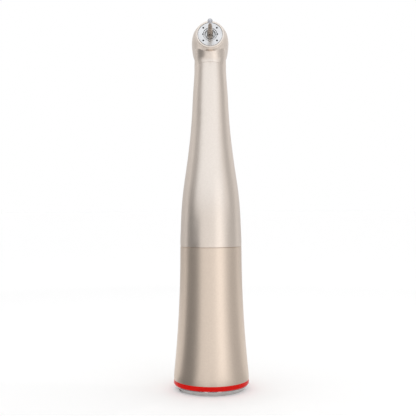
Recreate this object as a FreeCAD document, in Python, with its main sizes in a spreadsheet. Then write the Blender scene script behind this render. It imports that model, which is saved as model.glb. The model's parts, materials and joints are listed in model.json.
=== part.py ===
import FreeCAD, Part
import math
import os
import re
import Sketcher

# A dental speed-increasing contra-angle handpiece. Lengths are in millimetres and angles in degrees.
# Frames: the handle stands on its rear face with its axis along +Z and the bur pointing towards -Y.
# The neck axis leaves the handle axis at the elbow and leans back by bend_angle. The head axis crosses
# the neck axis at right angles at the head centre. Heights in the neck frame start at the elbow, and
# heights in the head frame start at the head centre and grow towards the bur.

DIMS = {
    # centreline
    "bend_angle": 12,
    "elbow_height": 47,
    "neck_length": 43.1,
    "bend_reach": 8,
    # shared fits and edges
    "fit_gap": 0.02,
    "seat_gap": 0.01,
    "edge_break": 0.15,
    # rear sleeve
    "seam_height": 36,
    "seam_radius": 7.75,
    "sleeve_rear_radius": 9.48,
    "sleeve_swell_radius": 9.37,
    "sleeve_swell_height": 4.7,
    "sleeve_swell_curve": 22,
    "sleeve_flare_curve": 306,
    "sleeve_bore": 7.5,
    "sleeve_front_bore": 6.95,
    "sleeve_taper_start": 28,
    "sleeve_taper_end": 32.5,
    "inner_lip_low": 20,
    "inner_lip_high": 21.2,
    "inner_lip_radius": 6.4,
    "seal_groove_low": 34.35,
    "seal_groove_high": 34.65,
    "seal_groove_radius": 7.15,
    "seal_radius": 7.035,
    "seal_section": 0.1,
    # colour ring and end ring
    "ring_step_radius": 8.18,
    "colour_ring_top": 2.5,
    "colour_ring_radius": 9.5,
    "colour_ring_curve": 30,
    "end_ring_height": 1.25,
    "end_ring_radius": 9.25,
    "end_ring_face_radius": 8.35,
    "end_ring_rim": 0.15,
    "notch_angle": 63,
    "notch_width": 1.2,
    "notch_height": 0.8,
    "notch_depth": 1.6,
    # coupling tube and lock ring
    "socket_radius": 6,
    "socket_length": 14,
    "socket_groove_radius": 6.16,
    "socket_groove_width": 1.2,
    "tube_radius": 6.36,
    "tube_length": 24.1,
    "tube_lip": 0.6,
    "tube_lip_radius": 5.6,
    "lock_groove_low": 21.3,
    "lock_groove_high": 21.9,
    "lock_ring_inner": 5.3,
    "lock_ring_gap": 2.4,
    "port_radius": 0.35,
    # drive bearing housing
    "housing_flange_top": 24,
    "housing_radius": 4.6,
    "housing_top": 32.2,
    "housing_lip_radius": 3.2,
    # drive shaft and dog
    "shaft_low": 15.9,
    "shaft_top": 32.95,
    "shaft_flat": 1.2,
    "shaft_flat_top": 21.6,
    "dog_low": 14.6,
    "dog_claw_top": 16.3,
    "dog_high": 19.5,
    "dog_radius": 2.4,
    "dog_cup_radius": 1.75,
    "dog_bore": 1.54,
    "dog_bore_flat": 1.24,
    "dog_slot_width": 1.5,
    "dog_spring_low": 19.52,
    "dog_spring_high": 21.98,
    "dog_spring_radius": 1.86,
    "dog_spring_wire": 0.18,
    "dog_spring_turns": 3.5,
    # bearing on the drive shaft
    "drive_bore": 1.5,
    "drive_outer": 3.5,
    "drive_width": 3,
    "drive_ball": 0.55,
    "drive_rear_middle": 23.5,
    "drive_front_middle": 30.5,
    # bearings in the neck
    "rear_bore": 0.75,
    "rear_outer": 2,
    "rear_width": 2,
    "rear_ball": 0.3,
    "rear_middle": -9.75,
    "front_bore": 0.75,
    "front_outer": 2,
    "front_width": 2,
    "front_ball": 0.3,
    "front_middle": 35.1,
    # bearings in the head
    "chuck_bore": 1.5875,
    "chuck_outer": 3.175,
    "chuck_width": 2.38,
    "chuck_ball": 0.5,
    "chuck_front_middle": 4.59,
    "chuck_rear_middle": -4.59,
    "ball_count": 7,
    "race_shoulder": 0.67,
    "cage_half_wall": 0.5,
    "cage_behind": 1.4,
    "cage_ahead": 0.6,
    # first gear pair, internal ring and pinion
    "pressure_angle": 25,
    "tooth_share": 0.44,
    "addendum": 0.8,
    "toe_depth": 0.9,
    "root_cut": 1.3,
    "tip_cut": 1.1,
    "ring_teeth": 30,
    "ring_angle": 17.0449,
    "pinion_teeth": 9,
    "pinion_angle": 5.0449,
    "first_module": 0.27,
    "first_reach": 13.817,
    "first_toe": 11.817,
    "ring_outer": 5.05,
    "ring_rim_outer": 4.35,
    "ring_web_low": 32.5,
    "ring_web_high": 33.05,
    "ring_wall_low": 33.2,
    "ring_relief_radius": 4.4,
    "ring_relief_top": 33.75,
    "ring_rim_height": 35.75,
    "ring_hub_radius": 2.1,
    "ring_hub_low": 32.02,
    # second gear pair, crown gear and spindle pinion
    "crown_teeth": 21,
    "crown_angle": 56.3099,
    "spindle_teeth": 14,
    "spindle_angle": 33.6901,
    "second_module": 0.3,
    "second_reach": 3.786,
    "second_toe": 3.086,
    "crown_front": 1.75,
    "crown_space_share": 0.72,
    "crown_back": 3.4,
    "crown_back_radius": 2.7,
    "spindle_gear_back": 3.37,
    "spindle_gear_back_radius": 1.78,
    # gear carrier
    "carrier_low": 36.3,
    "carrier_step": 39.2,
    "carrier_high": 41.3,
    "carrier_radius": 6.6,
    "carrier_top_radius": 6.25,
    "carrier_passage": 1.5,
    # front sleeve, outside and inside radii at stations along the centreline
    "sleeve_start_curve": 39,
    "outer_start": 7.7,
    "outer_third": 7.48,
    "outer_two_thirds": 7.05,
    "outer_bend_end": 6.35,
    "station_shoulder": 13,
    "outer_shoulder": 5.72,
    "station_mid": 18,
    "outer_mid": 5.2,
    "station_neck": 24,
    "outer_neck": 4.78,
    "station_slim": 30,
    "outer_slim": 4.5,
    "sleeve_end": 36.5,
    "outer_end": 4.18,
    "spigot_low": 33,
    "spigot_radius": 6.93,
    "inner_start": 6.62,
    "inner_two_thirds": 6.2,
    "inner_bend_end": 5.7,
    "inner_shoulder": 5.1,
    "inner_mid": 4.6,
    "inner_neck": 4.2,
    "inner_slim": 3.92,
    "inner_end": 3.78,
    "station_seat": 33,
    # neck shaft
    "neck_shaft_low": -13.7,
    "pinion_seat_top": -11.7,
    "pinion_seat_radius": 0.6,
    "pinion_collar_radius": 0.7,
    "neck_shaft_radius": 1.1,
    "front_collar_low": 33.4,
    "front_collar_radius": 1,
    "neck_shaft_high": 41.3,
    # front neck bush
    "bush_rear": 9.2,
    "bush_front": 6.2,
    "bush_radius": 3.38,
    "bush_lip_radius": 1.5,
    "bush_lip": 0.6,
    # head housing
    "head_front": 6.5,
    "head_front_radius": 3.6,
    "head_rim_radius": 3.74,
    "head_rim_height": 6.3,
    "head_rim_curve": 0.25,
    "rim_groove_front": 6.1,
    "rim_groove_height": 6,
    "rim_groove_radius": 3.62,
    "head_edge_radius": 3.83,
    "head_edge_height": 5.9,
    "head_shoulder_radius": 4.62,
    "head_shoulder_height": 3.5,
    "head_shoulder_curve": 10.3,
    "head_widest_radius": 4.88,
    "head_widest_height": -0.5,
    "head_waist_curve": 31,
    "head_back_radius": 4.75,
    "head_back": -5,
    "head_back_curve": 78,
    "head_bore": 3.19,
    "face_bore": 3.27,
    "face_bore_low": 5.85,
    "o_ring_radius": 3.4,
    "o_ring_section": 0.2,
    "o_ring_groove": 3.62,
    "o_ring_half_width": 0.22,
    "front_o_ring_height": 4.6,
    "rear_o_ring_height": -3.85,
    "cap_bore": 3.92,
    "cap_bore_height": -4.2,
    "stub_start": 0.5,
    "flare_1_reach": 5.9,
    "flare_1_shift": 0.05,
    "flare_2_reach": 5.2,
    "flare_2_shift": 0.3,
    "flare_3_reach": 4.4,
    "flare_3_shift": 0.8,
    "flare_4_reach": 3.6,
    "flare_4_shift": 1.45,
    "flare_5_reach": 2.4,
    "flare_5_shift": 2,
    "flare_radius": 4.15,
    "flare_top_radius": 4.08,
    "stub_end": 6.6,
    "stub_radius": 3.75,
    "stub_bore": 3.4,
    "stub_bore_start": 1.5,
    "stub_spigot_end": 9.4,
    # face plate and seal ring
    "shield_low": 5.81,
    "shield_inner": 1.3,
    "plate_low": 5.93,
    "plate_inner": 1.84,
    "plate_rim_radius": 3.25,
    "plate_rim_front": 6.15,
    "plate_radius": 3.17,
    "plate_edge": 0.05,
    "spray_hole_radius": 0.24,
    "spray_hole_circle": 2.48,
    "spray_holes": 4,
    "plate_slot_size": 0.6,
    "plate_slot_radius": 1.7,
    "seal_ring_inner": 1.42,
    "seal_ring_outer": 1.75,
    "seal_ring_top": 6.42,
    "seal_ring_web": 0.1,
    "seal_slots": 20,
    "seal_slot_width": 0.17,
    "seal_slot_depth": 0.35,
    # head cap, button, spring and washer
    "cap_spigot_radius": 3.9,
    "cap_side_radius": 4.5,
    "cap_side_height": -6.9,
    "cap_side_curve": 14,
    "cap_edge_curve": 1.1,
    "cap_lip_radius": 3.7,
    "cap_rear": -7.85,
    "cap_hole": 3.25,
    "cap_cavity_rear": -7.25,
    "cap_cavity": 3.75,
    "cap_shoulder": -5.95,
    "washer_inner": 1.4,
    "washer_outer": 3.7,
    "washer_thick": 0.1,
    "button_flange": 3.65,
    "button_flange_front": -7.05,
    "button_radius": 3.15,
    "button_edge": -7.8,
    "button_rear": -8.1,
    "button_dome_curve": 16.7,
    "button_nub_radius": 0.8,
    "button_nub": -6.28,
    "button_spring_small": 1.9,
    "button_spring_large": 3.3,
    "button_spring_wire": 0.09,
    "button_spring_turns": 2.5,
    # spindle, collet and chuck spring
    "nose_radius": 1.2,
    "nose_front": 6.4,
    "seat_front": 5.8,
    "waist_radius": 1.35,
    "waist_end": 3.4,
    "spindle_rear": -5.7,
    "spindle_bore": 1.12,
    "spring_bore": 1.32,
    "spring_bore_front": -4.2,
    "collet_radius": 1.08,
    "collet_front": 6.3,
    "collet_bore": 0.81,
    "collet_bore_end": -4.1,
    "collet_stem_radius": 0.7,
    "collet_flange_radius": 1.25,
    "collet_flange_front": -5.5,
    "collet_rear": -6,
    "collet_slots": 3,
    "collet_slot_width": 0.2,
    "collet_slot_end": 1,
    "chuck_spring_radius": 1.15,
    "chuck_spring_wire": 0.11,
    "chuck_spring_turns": 2.5,
    # bur
    "bur_rear": -3.45,
    "bur_radius": 0.8,
    "bur_shank_front": 7.6,
    "bur_taper_end": 10.3,
    "bur_taper_radius": 0.55,
    "bur_step": 11.5,
    "bur_step_radius": 0.5,
    "bur_neck_start": 11.8,
    "bur_neck_radius": 0.36,
    "bur_ball_radius": 0.64,
    "bur_ball_height": 13.8,
    "bur_ball_seat": 13.5,
    # media lines
    "line_radius": 0.4,
    "line_hole": 0.45,
    "line_low": 8,
    "line_rear_circle": 6.85,
    "line_bend_low": 25,
    "line_bend_high": 31,
    "line_front_circle": 6,
    "line_angle": 60,
    "line_carrier_top": 42,
    "line_end_side": 2.6,
    "line_end_back": 0.9,
    "line_end_height": 33,
    "line_bend_curve": 8,
}

DOC = FreeCAD.newDocument("handpiece")
SHEET = DOC.addObject("Spreadsheet::Sheet", "dims")
SUB_PARTS = {}
WORD = re.compile(r"[a-z][a-z0-9_]*")

# Each frame is where its origin is, as y and z, and its turn about X.
HEAD_Y = "neck_length * sin(bend_angle)"
HEAD_Z = "elbow_height + neck_length * cos(bend_angle)"
FRAMES = {
    "handle": ("0", "0", "0"),
    "elbow": ("0", "elbow_height", "0"),
    "neck": ("0", "elbow_height", "-bend_angle"),
    "crown": (HEAD_Y, HEAD_Z, "-bend_angle"),
    "head": (HEAD_Y, HEAD_Z, "90 - bend_angle"),
}


def fill_sheet():
    for row, (alias, number) in enumerate(DIMS.items(), 1):
        SHEET.set(f"A{row}", alias)
        SHEET.set(f"B{row}", str(number))
        SHEET.setAlias(f"B{row}", alias)
    DOC.recompute()


def size(alias):
    """The number that the sheet holds under an alias."""
    return float(SHEET.get(alias))


def bound(text):
    """The expression for a size written with bare aliases."""
    return WORD.sub(lambda w: "dims." + w.group() if w.group() in DIMS else w.group(), text)


def total(text):
    """The value of a sum of aliases and numbers, such as 'seam_height - edge_break'."""
    value = 0.0
    sign = 1.0
    for word in text.split():
        if word in "+-":
            sign = 1.0 if word == "+" else -1.0
            continue
        if word.startswith("-"):
            sign = -sign
            word = word[1:]
        value += sign * (size(word) if word in DIMS else float(word))
    return value


def bind(thing, **sizes):
    """Bind properties of an object to sizes in the sheet."""
    for name, text in sizes.items():
        thing.setExpression(name, bound(text))


def move(thing, at=("0", "0", "0"), axis=(1, 0, 0), angle="0"):
    """Bind where an object stands and how far it is turned about an axis."""
    thing.Placement = FreeCAD.Placement(FreeCAD.Vector(), FreeCAD.Rotation(FreeCAD.Vector(*axis), 1))
    thing.setExpression("Placement.Rotation.Angle", bound(angle))
    for letter, text in zip("xyz", at):
        thing.setExpression("Placement.Base." + letter, bound(text))


def finish(thing, label, frame="handle"):
    """Name a finished sub-part and put it in its frame."""
    thing.Label = label
    y, z, angle = FRAMES[frame]
    move(thing, ("0", y, z), (1, 0, 0), angle)
    SUB_PARTS[label] = thing
    return thing


# ---- ways of making a piece ----


def first_guess(outline):
    """Starting places for a sketch's corners: the real ones where there are arcs, else a ring."""
    if any(len(corner) == 3 for corner in outline):
        return [FreeCAD.Vector(total(c[0]), total(c[1]), 0) for c in outline]
    turn = 2 * math.pi / len(outline)
    places = [(20 + 9 * math.cos(k * turn), 9 * math.sin(k * turn)) for k in range(len(outline))]
    return [FreeCAD.Vector(x, y, 0) for x, y in places]


def arc_middle(start, end, radius):
    """The middle of an arc that bulges to the right of its way for a positive radius."""
    chord = end - start
    half = chord.Length / 2
    rise = abs(radius) - math.sqrt(radius * radius - half * half)
    side = FreeCAD.Vector(chord.y, -chord.x, 0).normalize()
    return (start + end) * 0.5 + side * math.copysign(rise, radius)


def draw_outline(sketch, outline):
    """Draw a closed outline whose corners are (radius, height), or (radius, height, arc to the next)."""
    places = first_guess(outline)
    count = len(outline)
    ends = []
    for k, corner in enumerate(outline):
        start = places[k]
        end = places[(k + 1) % count]
        if len(corner) == 3:
            middle = arc_middle(start, end, total(corner[2]))
            sketch.addGeometry(Part.Arc(start, middle, end), False)
            swapped = sketch.getPoint(k, 1).distanceToPoint(start) > 1e-6
            ends.append((2, 1) if swapped else (1, 2))
        else:
            sketch.addGeometry(Part.LineSegment(start, end), False)
            ends.append((1, 2))
    for k in range(count):
        after = (k + 1) % count
        sketch.addConstraint(Sketcher.Constraint("Coincident", k, ends[k][1], after, ends[after][0]))
    for k, corner in enumerate(outline):
        across = sketch.addConstraint(Sketcher.Constraint("DistanceX", -1, 1, k, ends[k][0], places[k].x))
        sketch.setExpression(f"Constraints[{across}]", bound(corner[0]))
        up = sketch.addConstraint(Sketcher.Constraint("DistanceY", -1, 1, k, ends[k][0], places[k].y))
        sketch.setExpression(f"Constraints[{up}]", bound(corner[1]))
        if len(corner) == 3:
            curve = abs(total(corner[2]))
            bend = sketch.addConstraint(Sketcher.Constraint("Radius", k, curve))
            sketch.setExpression(f"Constraints[{bend}]", bound(corner[2].lstrip("-")))


def turned(name, outline):
    """A body of revolution about its own Z axis."""
    body = DOC.addObject("PartDesign::Body", name)
    sketch = body.newObject("Sketcher::SketchObject", name + "_outline")
    plane = [f for f in body.Origin.OriginFeatures if f.Role == "XZ_Plane"][0]
    sketch.AttachmentSupport = [(plane, "")]
    sketch.MapMode = "FlatFace"
    draw_outline(sketch, outline)
    revolution = body.newObject("PartDesign::Revolution", name + "_turn")
    revolution.Profile = sketch
    revolution.ReferenceAxis = (sketch, ["V_Axis"])
    revolution.Angle = 360
    return body


def ring(name, inner, outer, low, high):
    """A plain turned ring or washer."""
    return turned(name, [(inner, low), (outer, low), (outer, high), (inner, high)])


def cylinder(name, radius, length, at=("0", "0", "0"), axis=(1, 0, 0), angle="0"):
    solid = DOC.addObject("Part::Cylinder", name)
    bind(solid, Radius=radius, Height=length)
    move(solid, at, axis, angle)
    return solid


def block(name, sides, at=("0", "0", "0"), axis=(0, 0, 1), angle="0"):
    """A box with one corner at a place, turned about an axis through that corner."""
    solid = DOC.addObject("Part::Box", name)
    bind(solid, Length=sides[0], Width=sides[1], Height=sides[2])
    move(solid, at, axis, angle)
    return solid


def fuse(name, solids):
    if len(solids) == 1:
        return solids[0]
    union = DOC.addObject("Part::MultiFuse", name)
    union.Shapes = solids
    return union


def cut(name, base, tools):
    result = DOC.addObject("Part::Cut", name)
    result.Base = base
    result.Tool = fuse(name + "_tools", tools)
    return result


def loft(name, stations):
    """A skin through circles. A station is (radius, y, z, turn about X)."""
    circles = []
    for k, (radius, y, z, angle) in enumerate(stations):
        circle = DOC.addObject("Part::Circle", f"{name}_{k}")
        bind(circle, Radius=radius)
        move(circle, ("0", y, z), (1, 0, 0), angle)
        circles.append(circle)
    skin = DOC.addObject("Part::Loft", name)
    skin.Sections = circles
    skin.Solid = True
    skin.Ruled = False
    return skin


def around(count, start=0.0):
    """Equal angles round a circle."""
    return [start + 360.0 * k / count for k in range(count)]


def polar(radius, angle):
    """Expressions for x and y at a radius and an angle from +X."""
    return (f"({radius}) * cos({angle})", f"({radius}) * sin({angle})")


def radial_slot(name, angle, inner, outer, width, low, height):
    """A box that lies along a radius."""
    x = f"({inner}) * cos({angle}) + ({width}) / 2 * sin({angle})"
    y = f"({inner}) * sin({angle}) - ({width}) / 2 * cos({angle})"
    return block(name, (f"{outer} - ({inner})", width, height), (x, y, low), (0, 0, 1), str(angle))


def swept(name, wire, radius):
    """A round rod along a wire."""
    start = wire.Vertexes[0].Point
    heading = wire.Edges[0].tangentAt(wire.Edges[0].FirstParameter)
    profile = Part.Wire(Part.makeCircle(radius, start, heading))
    feature = DOC.addObject("Part::Feature", name)
    feature.Shape = wire.makePipeShell([profile], True, True)
    return feature


def bent_wire(points, curve):
    """Straight runs joined by tangent arcs of one radius."""
    edges = []
    last = points[0]
    for before, corner, after in zip(points, points[1:], points[2:]):
        back = (before - corner).normalize()
        ahead = (after - corner).normalize()
        half_turn = (math.pi - back.getAngle(ahead)) / 2
        reach = curve * math.tan(half_turn)
        inward = (back + ahead).normalize()
        middle = corner + inward * (curve / math.cos(half_turn) - curve)
        edges.append(Part.LineSegment(last, corner + back * reach).toShape())
        last = corner + ahead * reach
        edges.append(Part.Arc(corner + back * reach, middle, last).toShape())
    edges.append(Part.LineSegment(last, points[-1]).toShape())
    return Part.Wire(edges)


def coil(name, wire, low, high, turns, low_radius, high_radius):
    """A wire spring along Z between two heights, with the mean radius of each end."""
    steps = round(turns * 12)
    points = []
    for k in range(steps + 1):
        part = k / steps
        radius = low_radius + (high_radius - low_radius) * part
        height = low + wire + (high - low - 2 * wire) * part
        turn = 2 * math.pi * turns * part
        points.append(FreeCAD.Vector(radius * math.cos(turn), radius * math.sin(turn), height))
    curve = Part.BSplineCurve()
    curve.interpolate(points)
    edge = curve.toShape()
    heading = edge.tangentAt(edge.FirstParameter)
    profile = Part.Wire(Part.makeCircle(wire, points[0], heading))
    feature = DOC.addObject("Part::Feature", name)
    feature.Shape = Part.Wire([edge]).makePipeShell([profile], True, True)
    return feature


# ---- bevel gears ----
# Each gear's cone has its tip at the frame's origin and its body below it. Tooth flanks are involutes on
# the back cone, and every tooth space is a pyramid that narrows to the cone's tip.


def involute(angle):
    return math.tan(angle) - angle


def space_pyramids(name, gear, pair, first, depth, internal=False):
    """All the tooth spaces of a gear, the first one centred at an angle, cut to a depth below the tip."""
    teeth = size(gear + "_teeth")
    cone = math.radians(size(gear + "_angle"))
    reach = size(pair + "_reach")
    module = size(pair + "_module")
    pressure = math.radians(size("pressure_angle"))
    back_radius = reach * math.tan(cone)
    base_radius = back_radius * math.cos(pressure)
    half_pitch = math.pi * math.cos(cone) / teeth
    share = size("tooth_share")
    inner = back_radius - size("root_cut" if internal else "tip_cut") * module
    outer = back_radius + size("tip_cut" if internal else "root_cut") * module

    def half_width(radius):
        turn = math.acos(min(1.0, base_radius / radius))
        flank = involute(pressure) - involute(turn)
        if internal:
            return (1 - share) * half_pitch + flank
        return (1 - share) * half_pitch - flank

    steps = 6
    radii = [inner + (outer - inner) * k / steps for k in range(steps + 1)]
    side = [(r, half_width(r) / math.cos(cone)) for r in radii]
    rim = side + [(r, -width) for r, width in reversed(side)]
    tip = FreeCAD.Vector(0, 0, 0)
    pyramids = []
    for middle in around(int(teeth), first):
        corners = []
        for radius, width in rim:
            spread = depth * math.tan(cone + (radius - back_radius) / reach)
            turn = math.radians(middle) + width
            corners.append(FreeCAD.Vector(spread * math.cos(turn), spread * math.sin(turn), -depth))
        corners.append(corners[0])
        faces = [Part.Face(Part.makePolygon(corners))]
        for one, two in zip(corners, corners[1:]):
            faces.append(Part.Face(Part.makePolygon([tip, one, two, tip])))
        pyramid = Part.Solid(Part.Shell(faces))
        if pyramid.Volume < 0:
            pyramid.reverse()
        pyramids.append(pyramid)
    feature = DOC.addObject("Part::Feature", name)
    feature.Shape = Part.makeCompound(pyramids)
    return feature


def cone_point(gear, distance, rise):
    """A point at a distance along the pitch cone and a rise above it, as radius and height."""
    angle = gear + "_angle"
    return (
        f"({distance}) * cos(90 - {angle}) + ({rise}) * cos({angle})",
        f"({rise}) * sin({angle}) - ({distance}) * cos({angle})",
    )


# ---- ball bearings ----


def ball_bearing(label, kind, middle, frame):
    """Outer race, inner race, cage and balls, centred at a height."""
    pitch = f"({kind}_bore + {kind}_outer) / 2"
    low = f"{middle} - {kind}_width / 2"
    high = f"{middle} + {kind}_width / 2"
    races = {
        "outer_race": (f"{pitch} + {kind}_ball * race_shoulder", f"{kind}_outer"),
        "inner_race": (f"{kind}_bore", f"{pitch} - {kind}_ball * race_shoulder"),
    }
    for race, (inner, outer) in races.items():
        name = f"{label}_{race}"
        groove = DOC.addObject("Part::Torus", name + "_groove")
        bind(groove, Radius1=pitch, Radius2=f"{kind}_ball + fit_gap")
        move(groove, ("0", "0", middle))
        finish(cut(name, ring(name + "_blank", inner, outer, low, high), [groove]), name, frame)
    balls = []
    pockets = []
    for k, angle in enumerate(around(int(size("ball_count")))):
        place = polar(pitch, angle) + (middle,)
        for pile, kind_of, radius in ((balls, "ball", "0"), (pockets, "pocket", "fit_gap * 2")):
            sphere = DOC.addObject("Part::Sphere", f"{label}_{kind_of}_{k}")
            bind(sphere, Radius=f"{kind}_ball + {radius}")
            move(sphere, place)
            pile.append(sphere)
    group = DOC.addObject("Part::Compound", label + "_balls")
    group.Links = balls
    finish(group, label + "_balls", frame)
    blank = ring(
        label + "_cage_blank",
        f"{pitch} - {kind}_ball * cage_half_wall",
        f"{pitch} + {kind}_ball * cage_half_wall",
        f"{middle} - {kind}_ball * cage_behind",
        f"{middle} + {kind}_ball * cage_ahead",
    )
    finish(cut(label + "_cage", blank, pockets), label + "_cage", frame)


# ---- rear end and handle ----


def rear_sleeve():
    body = turned(
        "rear_sleeve_body",
        [
            ("sleeve_bore", "end_ring_height"),
            ("ring_step_radius", "end_ring_height"),
            ("ring_step_radius", "colour_ring_top"),
            ("sleeve_rear_radius", "colour_ring_top", "sleeve_swell_curve"),
            ("sleeve_swell_radius", "sleeve_swell_height", "-sleeve_flare_curve"),
            ("seam_radius", "seam_height - edge_break"),
            ("seam_radius - edge_break", "seam_height"),
            ("sleeve_front_bore", "seam_height"),
            ("sleeve_front_bore", "seal_groove_high"),
            ("seal_groove_radius", "seal_groove_high"),
            ("seal_groove_radius", "seal_groove_low"),
            ("sleeve_front_bore", "seal_groove_low"),
            ("sleeve_front_bore", "sleeve_taper_end"),
            ("sleeve_bore", "sleeve_taper_start"),
            ("sleeve_bore", "inner_lip_high"),
            ("inner_lip_radius", "inner_lip_high"),
            ("inner_lip_radius", "inner_lip_low"),
            ("sleeve_bore", "inner_lip_low"),
        ],
    )
    low = "inner_lip_low - 1"
    length = "inner_lip_high - inner_lip_low + 2"
    passages = []
    for side in (-1, 1):
        angle = f"{side} * line_angle - 90"
        passages.append(
            radial_slot(
                f"line_passage_{side + 1}",
                angle,
                "tube_radius - 0.5",
                "sleeve_bore - 0.1",
                "line_hole * 2",
                low,
                length,
            )
        )
    finish(cut("rear_sleeve", body, passages), "rear_sleeve")


def colour_ring():
    band = turned(
        "colour_ring",
        [
            ("ring_step_radius + fit_gap", "end_ring_height"),
            ("end_ring_radius", "end_ring_height"),
            ("colour_ring_radius", "end_ring_height + edge_break + edge_break", "colour_ring_curve"),
            ("sleeve_rear_radius", "colour_ring_top"),
            ("ring_step_radius + fit_gap", "colour_ring_top"),
        ],
    )
    finish(band, "colour_ring")


def end_ring():
    body = turned(
        "end_ring_body",
        [
            ("tube_radius + seat_gap", "0"),
            ("end_ring_face_radius", "0"),
            ("end_ring_radius", "end_ring_height - end_ring_rim"),
            ("end_ring_radius", "end_ring_height"),
            ("tube_radius + seat_gap", "end_ring_height"),
        ],
    )
    notch = radial_slot(
        "notch",
        "-90 - notch_angle",
        "end_ring_radius - notch_depth",
        "end_ring_radius + 1",
        "notch_width",
        "0",
        "notch_height",
    )
    finish(cut("end_ring", body, [notch]), "end_ring")


def coupling_tube():
    groove_top = "socket_length + socket_groove_width"
    body = turned(
        "coupling_tube_body",
        [
            ("socket_radius", "0"),
            ("tube_radius", "0"),
            ("tube_radius", "tube_length + tube_lip"),
            ("tube_lip_radius", "tube_length + tube_lip"),
            ("tube_lip_radius", "tube_length"),
            ("socket_radius", "tube_length"),
            ("socket_radius", "lock_groove_high"),
            ("socket_groove_radius", "lock_groove_high"),
            ("socket_groove_radius", "lock_groove_low"),
            ("socket_radius", "lock_groove_low"),
            ("socket_radius", groove_top),
            ("socket_groove_radius", groove_top),
            ("socket_groove_radius", "socket_length"),
            ("socket_radius", "socket_length"),
        ],
    )
    ports = []
    for side in (-1, 1):
        turn = math.radians(side * size("line_angle"))
        across = (math.cos(turn), math.sin(turn), 0)
        height = "socket_length + socket_groove_width + port_radius * 3"
        place = ("0", "0", height)
        ports.append(cylinder(f"port_{side + 1}", "port_radius", "tube_radius + 1", place, across, "90"))
    finish(cut("coupling_tube", body, ports), "coupling_tube")
    clip = ring(
        "lock_ring_body",
        "lock_ring_inner",
        "socket_groove_radius - fit_gap",
        "lock_groove_low + fit_gap",
        "lock_groove_high - fit_gap",
    )
    gap = block(
        "lock_ring_gap",
        ("lock_ring_gap", "socket_radius * 2", "1"),
        ("-lock_ring_gap / 2", "0", "lock_groove_low - 0.2"),
    )
    finish(cut("housing_lock_ring", clip, [gap]), "housing_lock_ring")


def drive_bearing_housing():
    bore = "drive_outer + seat_gap"
    rear_top = "drive_rear_middle + drive_width / 2"
    front_low = "drive_front_middle - drive_width / 2"
    housing = turned(
        "drive_bearing_housing",
        [
            (bore, "lock_groove_high"),
            ("socket_radius - fit_gap", "lock_groove_high"),
            ("socket_radius - fit_gap", "housing_flange_top"),
            ("housing_radius", "housing_flange_top"),
            ("housing_radius", "housing_top"),
            (bore, "housing_top"),
            (bore, front_low),
            ("housing_lip_radius", front_low),
            ("housing_lip_radius", rear_top),
            (bore, rear_top),
        ],
    )
    finish(housing, "drive_bearing_housing")


# ---- drive ----


def drive_shaft():
    body = turned(
        "drive_shaft_body",
        [
            ("0", "shaft_low"),
            ("drive_bore - edge_break - seat_gap", "shaft_low"),
            ("drive_bore - seat_gap", "shaft_low + edge_break"),
            ("drive_bore - seat_gap", "shaft_top"),
            ("0", "shaft_top"),
        ],
    )
    flats = []
    for side in (0, 1):
        y = "shaft_flat" if side else "-shaft_flat - 1"
        sides = ("4", "1", "shaft_flat_top - shaft_low")
        flats.append(block(f"shaft_flat_{side}", sides, ("-2", y, "shaft_low")))
    finish(cut("drive_shaft", body, flats), "drive_shaft")


def drive_dog():
    """The sliding dog that the motor turns: two claws, and a bore with flats that rides on the shaft."""
    body = turned(
        "dog_body",
        [
            ("dog_cup_radius", "dog_low"),
            ("dog_radius - edge_break", "dog_low"),
            ("dog_radius", "dog_low + edge_break"),
            ("dog_radius", "dog_high"),
            ("dog_bore", "dog_high"),
            ("dog_bore", "dog_claw_top"),
            ("dog_cup_radius", "dog_claw_top"),
        ],
    )
    keys = []
    for side in (0, 1):
        y = "dog_bore_flat" if side else "-dog_bore_flat - 0.6"
        keys.append(
            block(
                f"dog_key_{side}",
                ("1.6", "0.6", "dog_high - dog_claw_top"),
                ("-0.8", y, "dog_claw_top"),
            )
        )
    whole = fuse("dog_whole", [body] + keys)
    slot = block(
        "dog_slot",
        ("dog_radius * 2 + 1", "dog_slot_width", "dog_claw_top - dog_low"),
        ("-dog_radius - 0.5", "-dog_slot_width / 2", "dog_low"),
    )
    finish(cut("drive_dog", whole, [slot]), "drive_dog")
    radius = size("dog_spring_radius")
    low = size("dog_spring_low")
    high = size("dog_spring_high")
    wire = size("dog_spring_wire")
    spring = coil("dog_spring", wire, low, high, size("dog_spring_turns"), radius, radius)
    finish(spring, "dog_spring")


def ring_gear():
    """The internal bevel gear at the front of the drive shaft, as a cup that narrows towards the elbow."""
    lift = "- elbow_height"
    heel = "first_reach * cos(ring_angle)"
    slope = "tan(ring_angle - addendum * first_module / first_reach * 180 / pi)"
    rim = "elbow_height - ring_rim_height"
    blank = turned(
        "ring_gear_blank",
        [
            ("drive_bore + seat_gap", "ring_hub_low " + lift),
            ("ring_hub_radius", "ring_hub_low " + lift),
            ("ring_hub_radius", "ring_web_low " + lift),
            ("ring_outer", "ring_web_low " + lift),
            ("ring_outer", "ring_wall_low " + lift),
            ("ring_rim_outer", "ring_rim_height " + lift),
            (f"({rim}) * {slope}", "ring_rim_height " + lift),
            (f"{heel} * {slope}", "-" + heel),
            ("ring_relief_radius", "ring_relief_top " + lift),
            ("ring_relief_radius", "ring_web_high " + lift),
            ("drive_bore + seat_gap", "ring_web_high " + lift),
        ],
    )
    depth = size("elbow_height") - size("ring_relief_top") + 0.05
    spaces = space_pyramids("ring_gear_spaces", "ring", "first", -90.0, depth, True)
    finish(cut("ring_gear", blank, [spaces]), "ring_gear", "elbow")


# ---- neck ----


def straight_station(radius, height):
    return (radius, "0", height, "0")


def bend_station(radius, part):
    """A circle on the arc of the bend, a part of the way round it."""
    curve = "bend_reach / tan(bend_angle / 2)"
    angle = f"bend_angle * {part}"
    y = f"{curve} * (1 - cos({angle}))"
    z = f"elbow_height - bend_reach + {curve} * sin({angle})"
    return (radius, y, z, "-" + angle)


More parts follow.
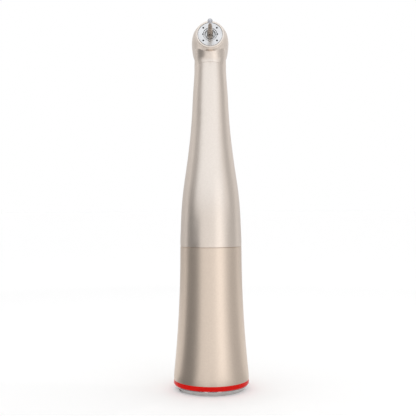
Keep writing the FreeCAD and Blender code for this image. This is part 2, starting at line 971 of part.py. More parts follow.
def neck_station(radius, height):
    y = f"({height}) * sin(bend_angle)"
    z = f"elbow_height + ({height}) * cos(bend_angle)"
    return (radius, y, z, "-bend_angle")


def front_sleeve():
    outer = loft(
        "front_sleeve_outer",
        [
            straight_station("seam_radius", "seam_height"),
            straight_station("outer_start", "sleeve_start_curve"),
            bend_station("outer_third", "1 / 3"),
            bend_station("outer_two_thirds", "2 / 3"),
            neck_station("outer_bend_end", "bend_reach"),
            neck_station("outer_shoulder", "station_shoulder"),
            neck_station("outer_mid", "station_mid"),
            neck_station("outer_neck", "station_neck"),
            neck_station("outer_slim", "station_slim"),
            neck_station("outer_end", "sleeve_end"),
        ],
    )
    inner = loft(
        "front_sleeve_inner",
        [
            straight_station("inner_start", "sleeve_start_curve"),
            bend_station("inner_start", "1 / 3"),
            bend_station("inner_two_thirds", "2 / 3"),
            neck_station("inner_bend_end", "bend_reach"),
            neck_station("inner_shoulder", "station_shoulder"),
            neck_station("inner_mid", "station_mid"),
            neck_station("inner_neck", "station_neck"),
            neck_station("inner_slim", "station_slim"),
            neck_station("inner_end", "station_seat"),
        ],
    )
    spigot = cylinder("spigot", "spigot_radius", "seam_height - spigot_low", ("0", "0", "spigot_low"))
    bore_length = "sleeve_start_curve - spigot_low + 1"
    bore = cylinder("spigot_bore", "inner_start", bore_length, ("0", "0", "spigot_low - 1"))
    seat_y = "station_seat * sin(bend_angle)"
    seat_z = "elbow_height + station_seat * cos(bend_angle)"
    seat = cylinder(
        "sleeve_seat",
        "inner_end",
        "sleeve_end - station_seat + 1",
        ("0", seat_y, seat_z),
        (1, 0, 0),
        "-bend_angle",
    )
    whole = fuse("front_sleeve_solid", [outer, spigot])
    finish(cut("front_sleeve", whole, [inner, bore, seat]), "front_sleeve")
    seal = DOC.addObject("Part::Torus", "joint_o_ring")
    bind(seal, Radius1="seal_radius", Radius2="seal_section")
    holder = DOC.addObject("Part::Compound", "joint_o_ring_group")
    holder.Links = [seal]
    move(seal, ("0", "0", "(seal_groove_low + seal_groove_high) / 2"))
    seal.Label = "joint_o_ring_torus"
    finish(holder, "joint_o_ring")


def along_neck(height, offset="0"):
    """The y and z of a point in the neck frame, in the handle frame."""
    y = f"({offset}) * cos(bend_angle) + ({height}) * sin(bend_angle)"
    z = f"elbow_height - ({offset}) * sin(bend_angle) + ({height}) * cos(bend_angle)"
    return (y, z)


def neck_hole(name, radius, low, length, offset="0"):
    """A hole parallel to the neck axis, in the handle frame."""
    return cylinder(name, radius, length, ("0",) + along_neck(low, offset), (1, 0, 0), "-bend_angle")


def gear_carrier():
    body = turned(
        "carrier_body",
        [
            ("0", "carrier_low"),
            ("carrier_radius", "carrier_low"),
            ("carrier_radius", "carrier_step"),
            ("carrier_top_radius", "carrier_step"),
            ("carrier_top_radius", "carrier_high"),
            ("0", "carrier_high"),
        ],
    )
    bearing_low = "rear_middle - rear_width / 2"
    tools = [
        neck_hole("bearing_seat", "rear_outer + seat_gap", f"{bearing_low} - 3", "rear_width + 3"),
        neck_hole("shaft_passage", "carrier_passage", bearing_low, "rear_width + 6"),
    ]
    for side in (-1, 1):
        x, y = polar("line_front_circle", f"{side} * line_angle - 90")
        length = "carrier_high - carrier_low + 2"
        place = (x, y, "carrier_low - 1")
        tools.append(cylinder(f"carrier_line_hole_{side + 1}", "line_hole", length, place))
    finish(cut("gear_carrier", body, tools), "gear_carrier")


def neck_shaft():
    rear_seat_low = "rear_middle - rear_width / 2"
    rear_seat_top = "rear_middle + rear_width / 2"
    front_seat_low = "front_middle - front_width / 2"
    shaft = turned(
        "neck_shaft",
        [
            ("0", "neck_shaft_low"),
            ("pinion_seat_radius", "neck_shaft_low"),
            ("pinion_seat_radius", "pinion_seat_top"),
            ("pinion_collar_radius", "pinion_seat_top"),
            ("pinion_collar_radius", rear_seat_low),
            ("rear_bore - seat_gap", rear_seat_low),
            ("rear_bore - seat_gap", rear_seat_top),
            ("neck_shaft_radius", rear_seat_top),
            ("neck_shaft_radius", "front_collar_low"),
            ("front_collar_radius", "front_collar_low"),
            ("front_collar_radius", front_seat_low),
            ("front_bore - seat_gap", front_seat_low),
            ("front_bore - seat_gap", "neck_shaft_high"),
            ("0", "neck_shaft_high"),
        ],
    )
    finish(shaft, "neck_shaft", "neck")


def neck_pinion():
    heel = "first_reach * cos(pinion_angle)"
    toe = "first_toe * cos(pinion_angle)"
    slope = "tan(pinion_angle + addendum * first_module / first_reach * 180 / pi)"
    bore = "pinion_seat_radius + seat_gap"
    blank = turned(
        "neck_pinion_blank",
        [
            (bore, "-" + heel),
            (f"{heel} * {slope}", "-" + heel),
            (f"{toe} * {slope}", "-" + toe),
            (bore, "-" + toe),
        ],
    )
    depth = size("first_reach") + 0.5
    half_pitch = 180.0 / size("pinion_teeth")
    spaces = space_pyramids("neck_pinion_spaces", "pinion", "first", -90.0 + half_pitch, depth)
    finish(cut("neck_pinion", blank, [spaces]), "neck_pinion", "neck")


def crown_gear():
    tip = "addendum * second_module"
    bore = "front_bore + seat_gap"
    toe_root = cone_point("crown", "second_toe", "-toe_depth * second_module")
    toe_tip = cone_point("crown", "second_toe", f"{tip} * second_toe / second_reach")
    heel_tip = cone_point("crown", "second_reach", tip)
    blank = turned(
        "crown_gear_blank",
        [
            (bore, "-crown_front"),
            (toe_root[0], "-crown_front"),
            toe_root,
            toe_tip,
            heel_tip,
            ("crown_back_radius", "-crown_back + 0.65"),
            ("crown_back_radius", "-crown_back"),
            (bore, "-crown_back"),
        ],
    )
    depth = size("second_reach") * size("crown_space_share")
    half_pitch = 180.0 / size("crown_teeth")
    spaces = space_pyramids("crown_gear_spaces", "crown", "second", 90.0 + half_pitch, depth)
    finish(cut("crown_gear", blank, [spaces]), "crown_gear", "crown")


def neck_bush():
    """The bush that holds the front neck bearing, with passages for the two lines."""
    lip = "-bush_front - bush_lip"
    seat = "front_outer + seat_gap"
    body = turned(
        "neck_bush_body",
        [
            ("bush_lip_radius", "-bush_front"),
            ("bush_radius", "-bush_front"),
            ("bush_radius", "-bush_rear"),
            (seat, "-bush_rear"),
            (seat, lip),
            ("bush_lip_radius", lip),
        ],
    )
    length = "bush_rear - bush_front + 2"
    tools = []
    for side in (-1, 1):
        x = f"{side} * line_end_side"
        place = (x, "line_end_back", "-bush_rear - 1")
        tools.append(cylinder(f"bush_line_hole_{side + 1}", "line_radius", length, place))
    finish(cut("neck_bush", body, tools), "neck_bush", "crown")


# ---- head ----


def head_housing():
    barrel = turned(
        "head_barrel",
        [
            ("0", "head_back"),
            ("head_back_radius", "head_back", "head_back_curve"),
            ("head_widest_radius", "head_widest_height", "head_waist_curve"),
            ("head_shoulder_radius", "head_shoulder_height", "head_shoulder_curve"),
            ("head_edge_radius", "head_edge_height"),
            ("rim_groove_radius", "rim_groove_height"),
            ("head_rim_radius", "rim_groove_front"),
            ("head_rim_radius", "head_rim_height", "head_rim_curve"),
            ("head_front_radius", "head_front"),
            ("0", "head_front"),
        ],
    )
    stub = loft(
        "head_stub",
        [
            ("outer_end", "-stub_end + edge_break / 2", "0", "90"),
            ("outer_end", "-flare_1_reach", "flare_1_shift", "90"),
            ("flare_radius", "-flare_2_reach", "flare_2_shift", "90"),
            ("flare_radius", "-flare_3_reach", "flare_3_shift", "90"),
            ("flare_radius", "-flare_4_reach", "flare_4_shift", "90"),
            ("flare_top_radius", "-flare_5_reach", "flare_5_shift", "90"),
        ],
    )
    edge = DOC.addObject("Part::Cone", "head_stub_edge")
    bind(edge, Radius1="outer_end", Radius2="outer_end - edge_break / 2", Height="edge_break / 2")
    move(edge, ("0", "-stub_end + edge_break / 2", "0"), (1, 0, 0), "90")
    spigot_length = "stub_spigot_end - stub_start"
    spigot_place = ("0", "-stub_start", "0")
    spigot = cylinder("stub_spigot", "stub_radius", spigot_length, spigot_place, (1, 0, 0), "90")
    body = fuse("head_body", [barrel, stub, edge, spigot])
    groove_height = "o_ring_half_width * 2"
    bore_length = "face_bore_low - cap_bore_height + 1"
    tools = [
        cylinder("head_bore_tool", "head_bore", bore_length, ("0", "0", "cap_bore_height - 1")),
        cylinder("face_bore_tool", "face_bore", "2", ("0", "0", "face_bore_low - 0.5")),
        cylinder("cap_bore_tool", "cap_bore", "2", ("0", "0", "cap_bore_height - 2")),
        cylinder(
            "stub_bore_tool",
            "stub_bore",
            "stub_spigot_end - stub_bore_start + 1",
            ("0", "-stub_bore_start", "0"),
            (1, 0, 0),
            "90",
        ),
    ]
    for height in ("front_o_ring_height", "rear_o_ring_height"):
        place = ("0", "0", f"{height} - o_ring_half_width")
        tools.append(cylinder(height + "_groove", "o_ring_groove", groove_height, place))
    finish(cut("head_housing", body, tools), "head_housing", "head")


def head_o_rings():
    for end in ("front", "rear"):
        label = end + "_chuck_o_ring"
        torus = DOC.addObject("Part::Torus", label + "_torus")
        bind(torus, Radius1="o_ring_radius", Radius2="o_ring_section")
        move(torus, ("0", "0", end + "_o_ring_height"))
        group = DOC.addObject("Part::Compound", label + "_group")
        group.Links = [torus]
        finish(group, label, "head")


def spray_plate():
    """The face plate and the dark bearing shield that shows through its holes."""
    shield_outer = "head_bore - fit_gap"
    shield = ring("bearing_shield", "shield_inner", shield_outer, "shield_low", "face_bore_low")
    finish(shield, "bearing_shield", "head")
    body = turned(
        "plate_body",
        [
            ("plate_inner", "plate_low"),
            ("plate_rim_radius", "plate_low"),
            ("plate_rim_radius", "plate_rim_front"),
            ("plate_radius", "plate_rim_front"),
            ("plate_radius", "head_front - plate_edge"),
            ("plate_radius - plate_edge", "head_front"),
            ("plate_inner", "head_front"),
        ],
    )
    tools = []
    below = "plate_low - 0.5"
    for k, angle in enumerate(around(int(size("spray_holes")), 45.0)):
        x, y = polar("spray_hole_circle", angle)
        tools.append(cylinder(f"spray_hole_{k}", "spray_hole_radius", "2", (x, y, below)))
    for k, angle in enumerate(around(int(size("spray_holes")))):
        x, y = polar("plate_slot_radius - plate_slot_size / sqrt(2)", angle)
        sides = ("plate_slot_size", "plate_slot_size", "2")
        tools.append(block(f"plate_slot_{k}", sides, (x, y, below), (0, 0, 1), str(angle - 45)))
    finish(cut("spray_plate", body, tools), "spray_plate", "head")


def front_seal_ring():
    """The toothed ring inside the face plate, seated on the bearing shield."""
    body = ring("seal_ring_body", "seal_ring_inner", "seal_ring_outer", "face_bore_low", "seal_ring_top")
    slots = []
    for k, angle in enumerate(around(int(size("seal_slots")))):
        slots.append(
            radial_slot(
                f"seal_slot_{k}",
                angle,
                "seal_ring_inner + seal_ring_web",
                "seal_ring_outer + seal_ring_web",
                "seal_slot_width",
                "seal_ring_top - seal_slot_depth",
                "seal_slot_depth",
            )
        )
    finish(cut("front_seal_ring", body, slots), "front_seal_ring", "head")


def head_cap():
    bore = "chuck_outer + fit_gap - seat_gap"
    cap = turned(
        "head_cap",
        [
            (bore, "cap_shoulder"),
            ("cap_cavity", "cap_shoulder"),
            ("cap_cavity", "cap_cavity_rear"),
            ("cap_hole", "cap_cavity_rear"),
            ("cap_hole", "cap_rear"),
            ("cap_lip_radius", "cap_rear", "cap_edge_curve"),
            ("cap_side_radius", "cap_side_height", "cap_side_curve"),
            ("head_back_radius", "head_back"),
            ("cap_spigot_radius", "head_back"),
            ("cap_spigot_radius", "cap_bore_height"),
            (bore, "cap_bore_height"),
        ],
    )
    finish(cap, "head_cap", "head")


def button_parts():
    washer_rear = "cap_shoulder - washer_thick"
    washer = ring("spring_washer", "washer_inner", "washer_outer", washer_rear, "cap_shoulder")
    finish(washer, "spring_washer", "head")
    button = turned(
        "push_button",
        [
            ("0", "button_rear", "button_dome_curve"),
            ("button_radius", "button_edge"),
            ("button_radius", "cap_cavity_rear + fit_gap"),
            ("button_flange", "cap_cavity_rear + fit_gap"),
            ("button_flange", "button_flange_front"),
            ("button_nub_radius", "button_flange_front"),
            ("button_nub_radius", "button_nub"),
            ("0", "button_nub"),
        ],
    )
    finish(button, "push_button", "head")
    spring = coil(
        "button_spring",
        size("button_spring_wire"),
        size("button_flange_front"),
        total(washer_rear),
        size("button_spring_turns"),
        size("button_spring_small"),
        size("button_spring_large"),
    )
    finish(spring, "button_spring", "head")


def spindle():
    seat = "chuck_bore - seat_gap"
    body = turned(
        "spindle",
        [
            ("spindle_bore", "nose_front"),
            ("spindle_bore", "spring_bore_front"),
            ("spring_bore", "spring_bore_front"),
            ("spring_bore", "spindle_rear"),
            (seat, "spindle_rear"),
            (seat, "-waist_end"),
            ("waist_radius", "-waist_end"),
            ("waist_radius", "waist_end"),
            (seat, "waist_end"),
            (seat, "seat_front"),
            ("nose_radius", "seat_front"),
            ("nose_radius", "nose_front"),
        ],
    )
    finish(body, "spindle", "head")


def spindle_pinion():
    tip = "addendum * second_module"
    bore = "waist_radius + seat_gap"
    toe_root = cone_point("spindle", "second_toe", "-toe_depth * second_module")
    toe_tip = cone_point("spindle", "second_toe", f"{tip} * second_toe / second_reach")
    heel_tip = cone_point("spindle", "second_reach", tip)
    blank = turned(
        "spindle_pinion_blank",
        [
            (bore, toe_root[1]),
            toe_root,
            toe_tip,
            heel_tip,
            ("spindle_gear_back_radius", "-spindle_gear_back"),
            (bore, "-spindle_gear_back"),
        ],
    )
    depth = size("second_reach")
    spaces = space_pyramids("spindle_pinion_spaces", "spindle", "second", -90.0, depth)
    finish(cut("spindle_pinion", blank, [spaces]), "spindle_pinion", "head")


def collet():
    body = turned(
        "collet_body",
        [
            ("collet_bore", "collet_front"),
            ("collet_bore", "collet_bore_end"),
            ("0", "collet_bore_end"),
            ("0", "collet_rear"),
            ("collet_flange_radius", "collet_rear"),
            ("collet_flange_radius", "collet_flange_front"),
            ("collet_stem_radius", "collet_flange_front"),
            ("collet_stem_radius", "collet_bore_end - 0.5"),
            ("collet_radius", "collet_bore_end - 0.1"),
            ("collet_radius", "collet_front"),
        ],
    )
    slots = []
    for k, angle in enumerate(around(int(size("collet_slots")), 90.0)):
        slots.append(
            radial_slot(
                f"collet_slot_{k}",
                angle,
                "0.2",
                "collet_radius + 0.2",
                "collet_slot_width",
                "collet_slot_end",
                "collet_front - collet_slot_end + 0.1",
            )
        )
    finish(cut("chuck_collet", body, slots), "chuck_collet", "head")
    radius = size("chuck_spring_radius")
    low = size("collet_flange_front")
    high = size("spring_bore_front")
    wire = size("chuck_spring_wire")
    spring = coil("chuck_spring", wire, low, high, size("chuck_spring_turns"), radius, radius)
    finish(spring, "chuck_spring", "head")


def bur():
    shank = turned(
        "bur_shank",
        [
            ("0", "bur_rear"),
            ("bur_radius - edge_break", "bur_rear"),
            ("bur_radius", "bur_rear + edge_break"),
            ("bur_radius", "bur_shank_front"),
            ("bur_taper_radius", "bur_taper_end"),
            ("bur_step_radius", "bur_step"),
            ("bur_neck_radius", "bur_neck_start"),
            ("bur_neck_radius", "bur_ball_seat"),
            ("0", "bur_ball_seat"),
        ],
    )
    finish(shank, "bur_shank", "head")
    ball = DOC.addObject("Part::Sphere", "bur_ball")
    bind(ball, Radius="bur_ball_radius")
    move(ball, ("0", "0", "bur_ball_height"))
    socket_place = ("0", "0", "bur_ball_seat - bur_ball_radius")
    socket = cylinder("bur_ball_socket", "bur_neck_radius", "bur_ball_radius", socket_place)
    finish(cut("bur_head", ball, [socket]), "bur_head", "head")


# ---- media lines ----


def media_lines():
    neck = FreeCAD.Placement(
        FreeCAD.Vector(0, 0, size("elbow_height")),
        FreeCAD.Rotation(FreeCAD.Vector(1, 0, 0), -size("bend_angle")),
    )
    for side, label in ((-1, "water_tube"), (1, "air_tube")):
        angle = math.radians(side * size("line_angle") - 90)
        outward = FreeCAD.Vector(math.cos(angle), math.sin(angle), 0)
        rear = outward * size("line_rear_circle")
        front = outward * size("line_front_circle")
        up = FreeCAD.Vector(0, 0, 1)
        last = FreeCAD.Vector(side * size("line_end_side"), size("line_end_back"), size("line_end_height"))
        points = [
            rear + up * size("line_low"),
            rear + up * size("line_bend_low"),
            front + up * size("line_bend_high"),
            front + up * size("line_carrier_top"),
            neck.multVec(last),
        ]
        line = swept(label, bent_wire(points, size("line_bend_curve")), size("line_radius"))
        finish(line, label)


def build_all():
    fill_sheet()
    rear_sleeve()
    colour_ring()
    end_ring()
    coupling_tube()
    drive_bearing_housing()
    drive_shaft()
    drive_dog()
    ring_gear()
    ball_bearing("drive_rear", "drive", "drive_rear_middle", "handle")
    ball_bearing("drive_front", "drive", "drive_front_middle", "handle")
    front_sleeve()
    gear_carrier()
    neck_shaft()
    neck_pinion()
    crown_gear()
    neck_bush()
    ball_bearing("neck_rear", "rear", "rear_middle", "neck")
    ball_bearing("neck_front", "front", "front_middle", "neck")
    head_housing()
    head_o_rings()
    spray_plate()
    front_seal_ring()
    head_cap()
    button_parts()
    spindle()
    spindle_pinion()
    collet()
    bur()
    ball_bearing("chuck_front", "chuck", "chuck_front_middle", "head")
    ball_bearing("chuck_rear", "chuck", "chuck_rear_middle", "head")
    media_lines()
    DOC.recompute()


def check_all():
    """Stop if any object failed or any sub-part isn't a sound solid."""
    for thing in DOC.Objects:
        bad = [state for state in thing.State if state in ("Invalid", "Error")]
        if bad:
            raise RuntimeError(f"{thing.Label} is {bad}")
    for label, thing in SUB_PARTS.items():
        shape = thing.Shape
        if shape.isNull() or not shape.isValid() or not shape.Solids:
            raise RuntimeError(f"{label} has no sound solid")


def export_all():
    os.makedirs("parts", exist_ok=True)
    for label, thing in SUB_PARTS.items():
        thing.Shape.exportStep(f"parts/{label}.step")
        print(f"{label}: {len(thing.Shape.Solids)} solid(s), {thing.Shape.Volume:.3f} mm3")
    print(len(SUB_PARTS), "sub-parts")


build_all()
check_all()
export_all()
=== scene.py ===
import json
import math

import bmesh
import bpy
from mathutils import Matrix, Vector

# A dental speed-increasing contra-angle handpiece on a white studio sweep. All lengths are in metres.
MM = 0.001

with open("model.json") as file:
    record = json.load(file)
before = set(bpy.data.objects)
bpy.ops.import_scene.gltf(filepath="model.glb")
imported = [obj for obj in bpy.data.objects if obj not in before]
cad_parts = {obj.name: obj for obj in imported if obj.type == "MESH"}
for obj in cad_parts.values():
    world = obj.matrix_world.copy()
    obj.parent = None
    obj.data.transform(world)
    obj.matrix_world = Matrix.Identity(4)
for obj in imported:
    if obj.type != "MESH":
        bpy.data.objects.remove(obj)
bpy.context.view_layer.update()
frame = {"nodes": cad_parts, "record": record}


# ---- materials ----

# where along the noise the darker tone ends and the lighter one starts
TINT_SPAN = (0.35, 0.65)
# how fast lathe marks change along X, Y and Z, to the metre: they run round the handle's axis
LATHE_MARKS = (2500, 2500, 60000)
LATHE_DEPTH = 0.0012 * MM


class Nodes:
    """A short way of wiring one material's nodes."""

    def __init__(self, name):
        self.material = bpy.data.materials.new(name)
        self.material.use_nodes = True
        self.tree = self.material.node_tree
        self.shader = self.tree.nodes["Principled BSDF"]
        self.place = self.add("ShaderNodeTexCoord").outputs["Object"]

    def add(self, kind, **settings):
        node = self.tree.nodes.new(kind)
        for name, value in settings.items():
            setattr(node, name, value)
        return node

    def link(self, source, target):
        self.tree.links.new(source, target)

    def stretched(self, scale):
        """Object coordinates scaled differently along each axis."""
        mapping = self.add("ShaderNodeMapping")
        mapping.inputs["Scale"].default_value = scale
        self.link(self.place, mapping.inputs["Vector"])
        return mapping.outputs["Vector"]

    def grain(self, per_mm, detail):
        """Noise with a number of features to the millimetre."""
        node = self.add("ShaderNodeTexNoise")
        node.inputs["Scale"].default_value = per_mm / MM
        node.inputs["Detail"].default_value = detail
        self.link(self.place, node.inputs["Vector"])
        return node.outputs["Fac"]

    def spread(self, source, low, high, source_low=0.3, source_high=0.7):
        """Noise mapped to a range."""
        node = self.add("ShaderNodeMapRange")
        node.inputs["From Min"].default_value = source_low
        node.inputs["From Max"].default_value = source_high
        node.inputs["To Min"].default_value = low
        node.inputs["To Max"].default_value = high
        self.link(source, node.inputs["Value"])
        return node.outputs["Result"]

    def tint(self, source, dark, light):
        """A colour between two, by a factor."""
        ramp = self.add("ShaderNodeValToRGB")
        start, end = ramp.color_ramp.elements
        start.position, end.position = TINT_SPAN
        start.color = (*dark, 1)
        end.color = (*light, 1)
        self.link(source, ramp.inputs["Fac"])
        self.link(ramp.outputs["Color"], self.shader.inputs["Base Color"])

    def rough(self, source):
        self.link(source, self.shader.inputs["Roughness"])

    def bump(self, source, height, strength):
        node = self.add("ShaderNodeBump")
        node.inputs["Distance"].default_value = height
        node.inputs["Strength"].default_value = strength
        self.link(source, node.inputs["Height"])
        self.link(node.outputs["Normal"], self.shader.inputs["Normal"])

    def set(self, **values):
        for name, value in values.items():
            self.shader.inputs[name.replace("_", " ")].default_value = value
        return self.material


def blasted_titanium(name, dark, light, roughness):
    """Bead-blasted titanium: an even fine grain, with faint cloudy changes in tone and polish."""
    nodes = Nodes(name)
    nodes.tint(nodes.grain(2.5, 6), dark, light)
    nodes.rough(nodes.spread(nodes.grain(5.0, 4), roughness - 0.02, roughness + 0.02))
    nodes.bump(nodes.grain(9.0, 2), 0.004 * MM, 0.5)
    return nodes.set(Metallic=1.0)


def ground_metal(name, dark, light, roughness):
    """Turned or ground metal with fine tool lines round the handle's axis."""
    nodes = Nodes(name)
    marks = nodes.add("ShaderNodeTexNoise")
    marks.inputs["Scale"].default_value = 1.0
    marks.inputs["Detail"].default_value = 3.0
    nodes.link(nodes.stretched(LATHE_MARKS), marks.inputs["Vector"])
    nodes.tint(nodes.grain(0.5, 4), dark, light)
    nodes.rough(nodes.spread(marks.outputs["Fac"], roughness * 0.75, roughness * 1.3))
    nodes.bump(marks.outputs["Fac"], LATHE_DEPTH, 0.4)
    return nodes.set(Metallic=1.0)


def moulded(name, dark, light, roughness, specular=0.5):
    """Moulded plastic, rubber or enamel with a slight orange-peel."""
    nodes = Nodes(name)
    nodes.tint(nodes.grain(0.8, 4), dark, light)
    nodes.rough(nodes.spread(nodes.grain(2.0, 3), roughness * 0.85, roughness * 1.2))
    nodes.bump(nodes.grain(3.0, 2), 0.002 * MM, 0.4)
    nodes.shader.inputs["Specular IOR Level"].default_value = specular
    return nodes.material


def red_enamel():
    """The colour ring: smooth fired enamel."""
    return moulded("red_enamel", (0.58, 0.003, 0.001), (0.64, 0.005, 0.001), 0.3, 0.12)


def diamond_grit():
    """Diamond particles held in a bright nickel coat."""
    nodes = Nodes("diamond_grit")
    cells = nodes.add("ShaderNodeTexVoronoi")
    cells.inputs["Scale"].default_value = 9.0 / MM
    nodes.link(nodes.place, cells.inputs["Vector"])
    nodes.tint(nodes.grain(4.0, 4), (0.40, 0.40, 0.42), (0.64, 0.64, 0.67))
    nodes.rough(nodes.spread(cells.outputs["Distance"], 0.25, 0.5, 0.0, 0.6))
    nodes.bump(cells.outputs["Distance"], 0.02 * MM, 0.6)
    return nodes.set(Metallic=0.85)


FINISHES = {
    "titanium_rear": blasted_titanium("titanium_rear", (0.665, 0.555, 0.465), (0.695, 0.585, 0.49), 0.36),
    "titanium_front": blasted_titanium(
        "titanium_front", (0.70, 0.615, 0.545), (0.73, 0.645, 0.575), 0.34
    ),
    "red_ring": red_enamel(),
    "polished_steel": ground_metal("polished_steel", (0.60, 0.58, 0.57), (0.68, 0.66, 0.65), 0.22),
    "machined_steel": ground_metal("machined_steel", (0.50, 0.49, 0.48), (0.62, 0.61, 0.60), 0.34),
    "shaft_steel": ground_metal("shaft_steel", (0.56, 0.55, 0.54), (0.66, 0.65, 0.64), 0.28),
    "gear_steel": ground_metal("gear_steel", (0.26, 0.24, 0.22), (0.38, 0.35, 0.32), 0.30),
    "bearing_steel": ground_metal("bearing_steel", (0.62, 0.62, 0.63), (0.74, 0.74, 0.75), 0.12),
    "ceramic": moulded("ceramic", (0.05, 0.05, 0.055), (0.09, 0.09, 0.095), 0.12),
    "cage_resin": moulded("cage_resin", (0.24, 0.11, 0.04), (0.34, 0.17, 0.07), 0.45),
    "seal_rubber": moulded("seal_rubber", (0.012, 0.012, 0.013), (0.022, 0.022, 0.023), 0.55),
    "spring_steel": ground_metal("spring_steel", (0.46, 0.46, 0.46), (0.60, 0.60, 0.60), 0.24),
    "line_steel": ground_metal("line_steel", (0.58, 0.58, 0.58), (0.70, 0.70, 0.70), 0.26),
    "bur_steel": ground_metal("bur_steel", (0.33, 0.27, 0.22), (0.46, 0.39, 0.33), 0.26),
    "diamond_grit": diamond_grit(),
}


def dress_nodes():
    """Give every carried-over piece the finish of its slot."""
    for part in frame["record"]["subparts"]:
        piece = frame["nodes"][part["node"]]
        for holder in piece.material_slots:
            holder.material = FINISHES[part["material_slot"]]


# ---- stage ----

CAMERA_DISTANCE = 0.1848
CAMERA_HEIGHT = 0.0451
CAMERA_TURN = 0.0038
CAMERA_LIFT = 0.0031
CAMERA_ROLL = -0.0038
SENSOR = 36
LENS = 62.95
CLIP_START = 0.01
FLOOR_SIZE = 60
FLOOR_ROUGHNESS = 0.8
TENT_BRIGHTNESS = 1.0
PANEL_DISTANCE = 0.6
AIM_HEIGHT = 0.05
CARD_STEPS = 12
# card profiles as (radius, height) pairs: along the floor and up a wall, a wall alone, or overhead
LOW_WALL = [(0.014, 0.0004), (0.18, 0.0004), (0.18, 0.07)]
HIGH_WALL = [(0.18, 0.07), (0.18, 0.45)]
GLOW_WALL = [(0.03, 0.0003), (0.35, 0.0003), (0.35, 0.09)]
BACK_WALL = [(0.25, 0.0005), (0.25, 0.5)]
CANOPY = [(0.7, 0.25), (0.55, 0.6), (0.1, 0.8)]
SKIRT = [(0.0102, 0.0002), (0.019, 0.0002)]


def add_camera():
    """A level camera half way up the handpiece, on the side that the bur points to."""
    data = bpy.data.cameras.new("camera")
    data.sensor_width = SENSOR
    data.lens = LENS
    data.clip_start = CLIP_START
    camera = bpy.data.objects.new("camera", data)
    place = Matrix.Translation((0, -CAMERA_DISTANCE, CAMERA_HEIGHT))
    turn = Matrix.Rotation(CAMERA_TURN, 4, "Z")
    lift = Matrix.Rotation(math.pi / 2 + CAMERA_LIFT, 4, "X")
    roll = Matrix.Rotation(CAMERA_ROLL, 4, "Z")
    camera.matrix_world = place @ turn @ lift @ roll
    bpy.context.scene.collection.objects.link(camera)
    bpy.context.scene.camera = camera


def add_world():
    """White all round, as inside a light tent."""
    world = bpy.data.worlds.new("tent")
    world.use_nodes = True
    background = world.node_tree.nodes["Background"]
    background.inputs["Color"].default_value = (1, 1, 1, 1)
    background.inputs["Strength"].default_value = TENT_BRIGHTNESS
    bpy.context.scene.world = world


def around_object(azimuth, radius, height):
    """A place by its azimuth in degrees: 0 is towards the camera, and it grows towards the camera's right."""
    turn = math.radians(azimuth)
    return Vector((math.sin(turn) * radius, -math.cos(turn) * radius, height))


def add_panel(name, azimuth, height, size, power):
    """A soft box that faces the object."""
    data = bpy.data.lights.new(name, "AREA")
    data.shape = "RECTANGLE"
    data.size = size[0]
    data.size_y = size[1]
    data.energy = power
    lamp = bpy.data.objects.new(name, data)
    lamp.location = around_object(azimuth, PANEL_DISTANCE, height)
    aim = lamp.location - Vector((0, 0, AIM_HEIGHT))
    lamp.rotation_euler = aim.to_track_quat("Z", "Y").to_euler()
    bpy.context.scene.collection.objects.link(lamp)


def card_paint(name, greys, tint):
    """A flat glow that only mirrors see, its strength by height: (height, strength) from the floor up."""
    paint = bpy.data.materials.new(name)
    paint.use_nodes = True
    nodes = paint.node_tree.nodes
    links = paint.node_tree.links
    nodes.remove(nodes["Principled BSDF"])
    place = nodes.new("ShaderNodeTexCoord")
    split = nodes.new("ShaderNodeSeparateXYZ")
    reach = nodes.new("ShaderNodeMapRange")
    ramp = nodes.new("ShaderNodeValToRGB")
    glow = nodes.new("ShaderNodeEmission")
    top = greys[-1][0]
    reach.inputs["From Max"].default_value = top
    for k, (height, grey) in enumerate(greys):
        stops = ramp.color_ramp.elements
        stop = stops[k] if k < 2 else stops.new(1)
        stop.position = height / top
        stop.color = (grey * tint[0], grey * tint[1], grey * tint[2], 1)
    links.new(place.outputs["Object"], split.inputs["Vector"])
    links.new(split.outputs["Z"], reach.inputs["Value"])
    links.new(reach.outputs["Result"], ramp.inputs["Fac"])
    links.new(ramp.outputs["Color"], glow.inputs["Color"])
    links.new(glow.outputs["Emission"], nodes["Material Output"].inputs["Surface"])
    return paint


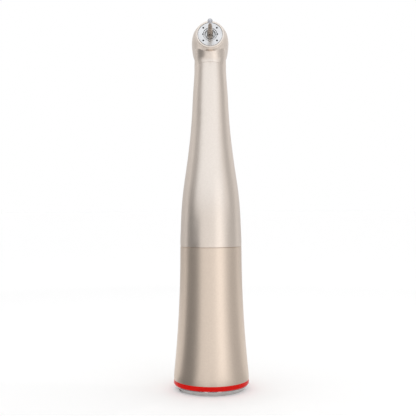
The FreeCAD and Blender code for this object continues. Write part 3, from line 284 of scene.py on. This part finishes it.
def add_card(name, first, last, path, greys, tint=(1, 1, 1)):
    """A bent card between two azimuths in degrees; path is its profile as (radius, height) pairs."""
    shape = bmesh.new()
    azimuths = [first + (last - first) * k / CARD_STEPS for k in range(CARD_STEPS + 1)]
    rows = []
    for radius, height in path:
        rows.append([shape.verts.new(around_object(azimuth, radius, height)) for azimuth in azimuths])
    for low, high in zip(rows, rows[1:]):
        for k in range(CARD_STEPS):
            shape.faces.new((low[k], low[k + 1], high[k + 1], high[k]))
    mesh = bpy.data.meshes.new(name)
    shape.to_mesh(mesh)
    shape.free()
    mesh.materials.append(card_paint(name, greys, tint))
    card = bpy.data.objects.new(name, mesh)
    card.visible_camera = False
    card.visible_diffuse = False
    card.visible_shadow = False
    bpy.context.scene.collection.objects.link(card)


def add_floor():
    bpy.ops.mesh.primitive_plane_add(size=FLOOR_SIZE, location=(0, 0, 0))
    floor = bpy.context.object
    floor.name = "floor"
    paint = bpy.data.materials.new("floor")
    paint.use_nodes = True
    shader = paint.node_tree.nodes["Principled BSDF"]
    shader.inputs["Base Color"].default_value = (1, 1, 1, 1)
    shader.inputs["Roughness"].default_value = FLOOR_ROUGHNESS
    floor.data.materials.append(paint)


def add_stage():
    add_world()
    add_floor()
    add_panel("front_right", azimuth=33, height=0.2, size=(0.3, 0.4), power=0.12)
    add_panel("top_front", azimuth=0, height=0.75, size=(0.5, 0.2), power=0.05)
    add_card("left_low", -42, -98, LOW_WALL, [(0.0, 0.25), (0.07, 0.27)])
    add_card("left_high", -66, -100, HIGH_WALL, [(0.07, 0.3), (0.12, 0.45), (0.3, 0.62)])
    add_card("right_low", 60, 108, LOW_WALL, [(0.0, 0.62), (0.07, 0.6)])
    add_card("right_high", 78, 112, HIGH_WALL, [(0.07, 0.56), (0.3, 0.62)])
    add_card("glow", 20, 44, GLOW_WALL, [(0.0, 1.5), (0.09, 1.5)])
    add_card("back_left", -112, -178, BACK_WALL, [(0.0, 0.6), (0.1, 0.75), (0.3, 1.0)])
    add_card("back_right", 122, 178, BACK_WALL, [(0.0, 0.7), (0.1, 0.85), (0.3, 1.1)])
    # a cool light overhead, which the leaning neck and the face plate mirror
    add_card("canopy", -100, 60, CANOPY, [(0.25, 1.05), (0.45, 1.18), (0.8, 1.2)], (1, 1.05, 1.1))
    add_card("skirt_left", -75, -14, SKIRT, [(0.0, 0.25), (0.1, 0.25)])
    add_card("skirt_middle", -6, 12, SKIRT, [(0.0, 0.3), (0.1, 0.3)])
    add_card("skirt_right", 20, 80, SKIRT, [(0.0, 0.35), (0.1, 0.35)])
    add_camera()
    bpy.context.scene.view_settings.view_transform = "Standard"


dress_nodes()
add_stage()
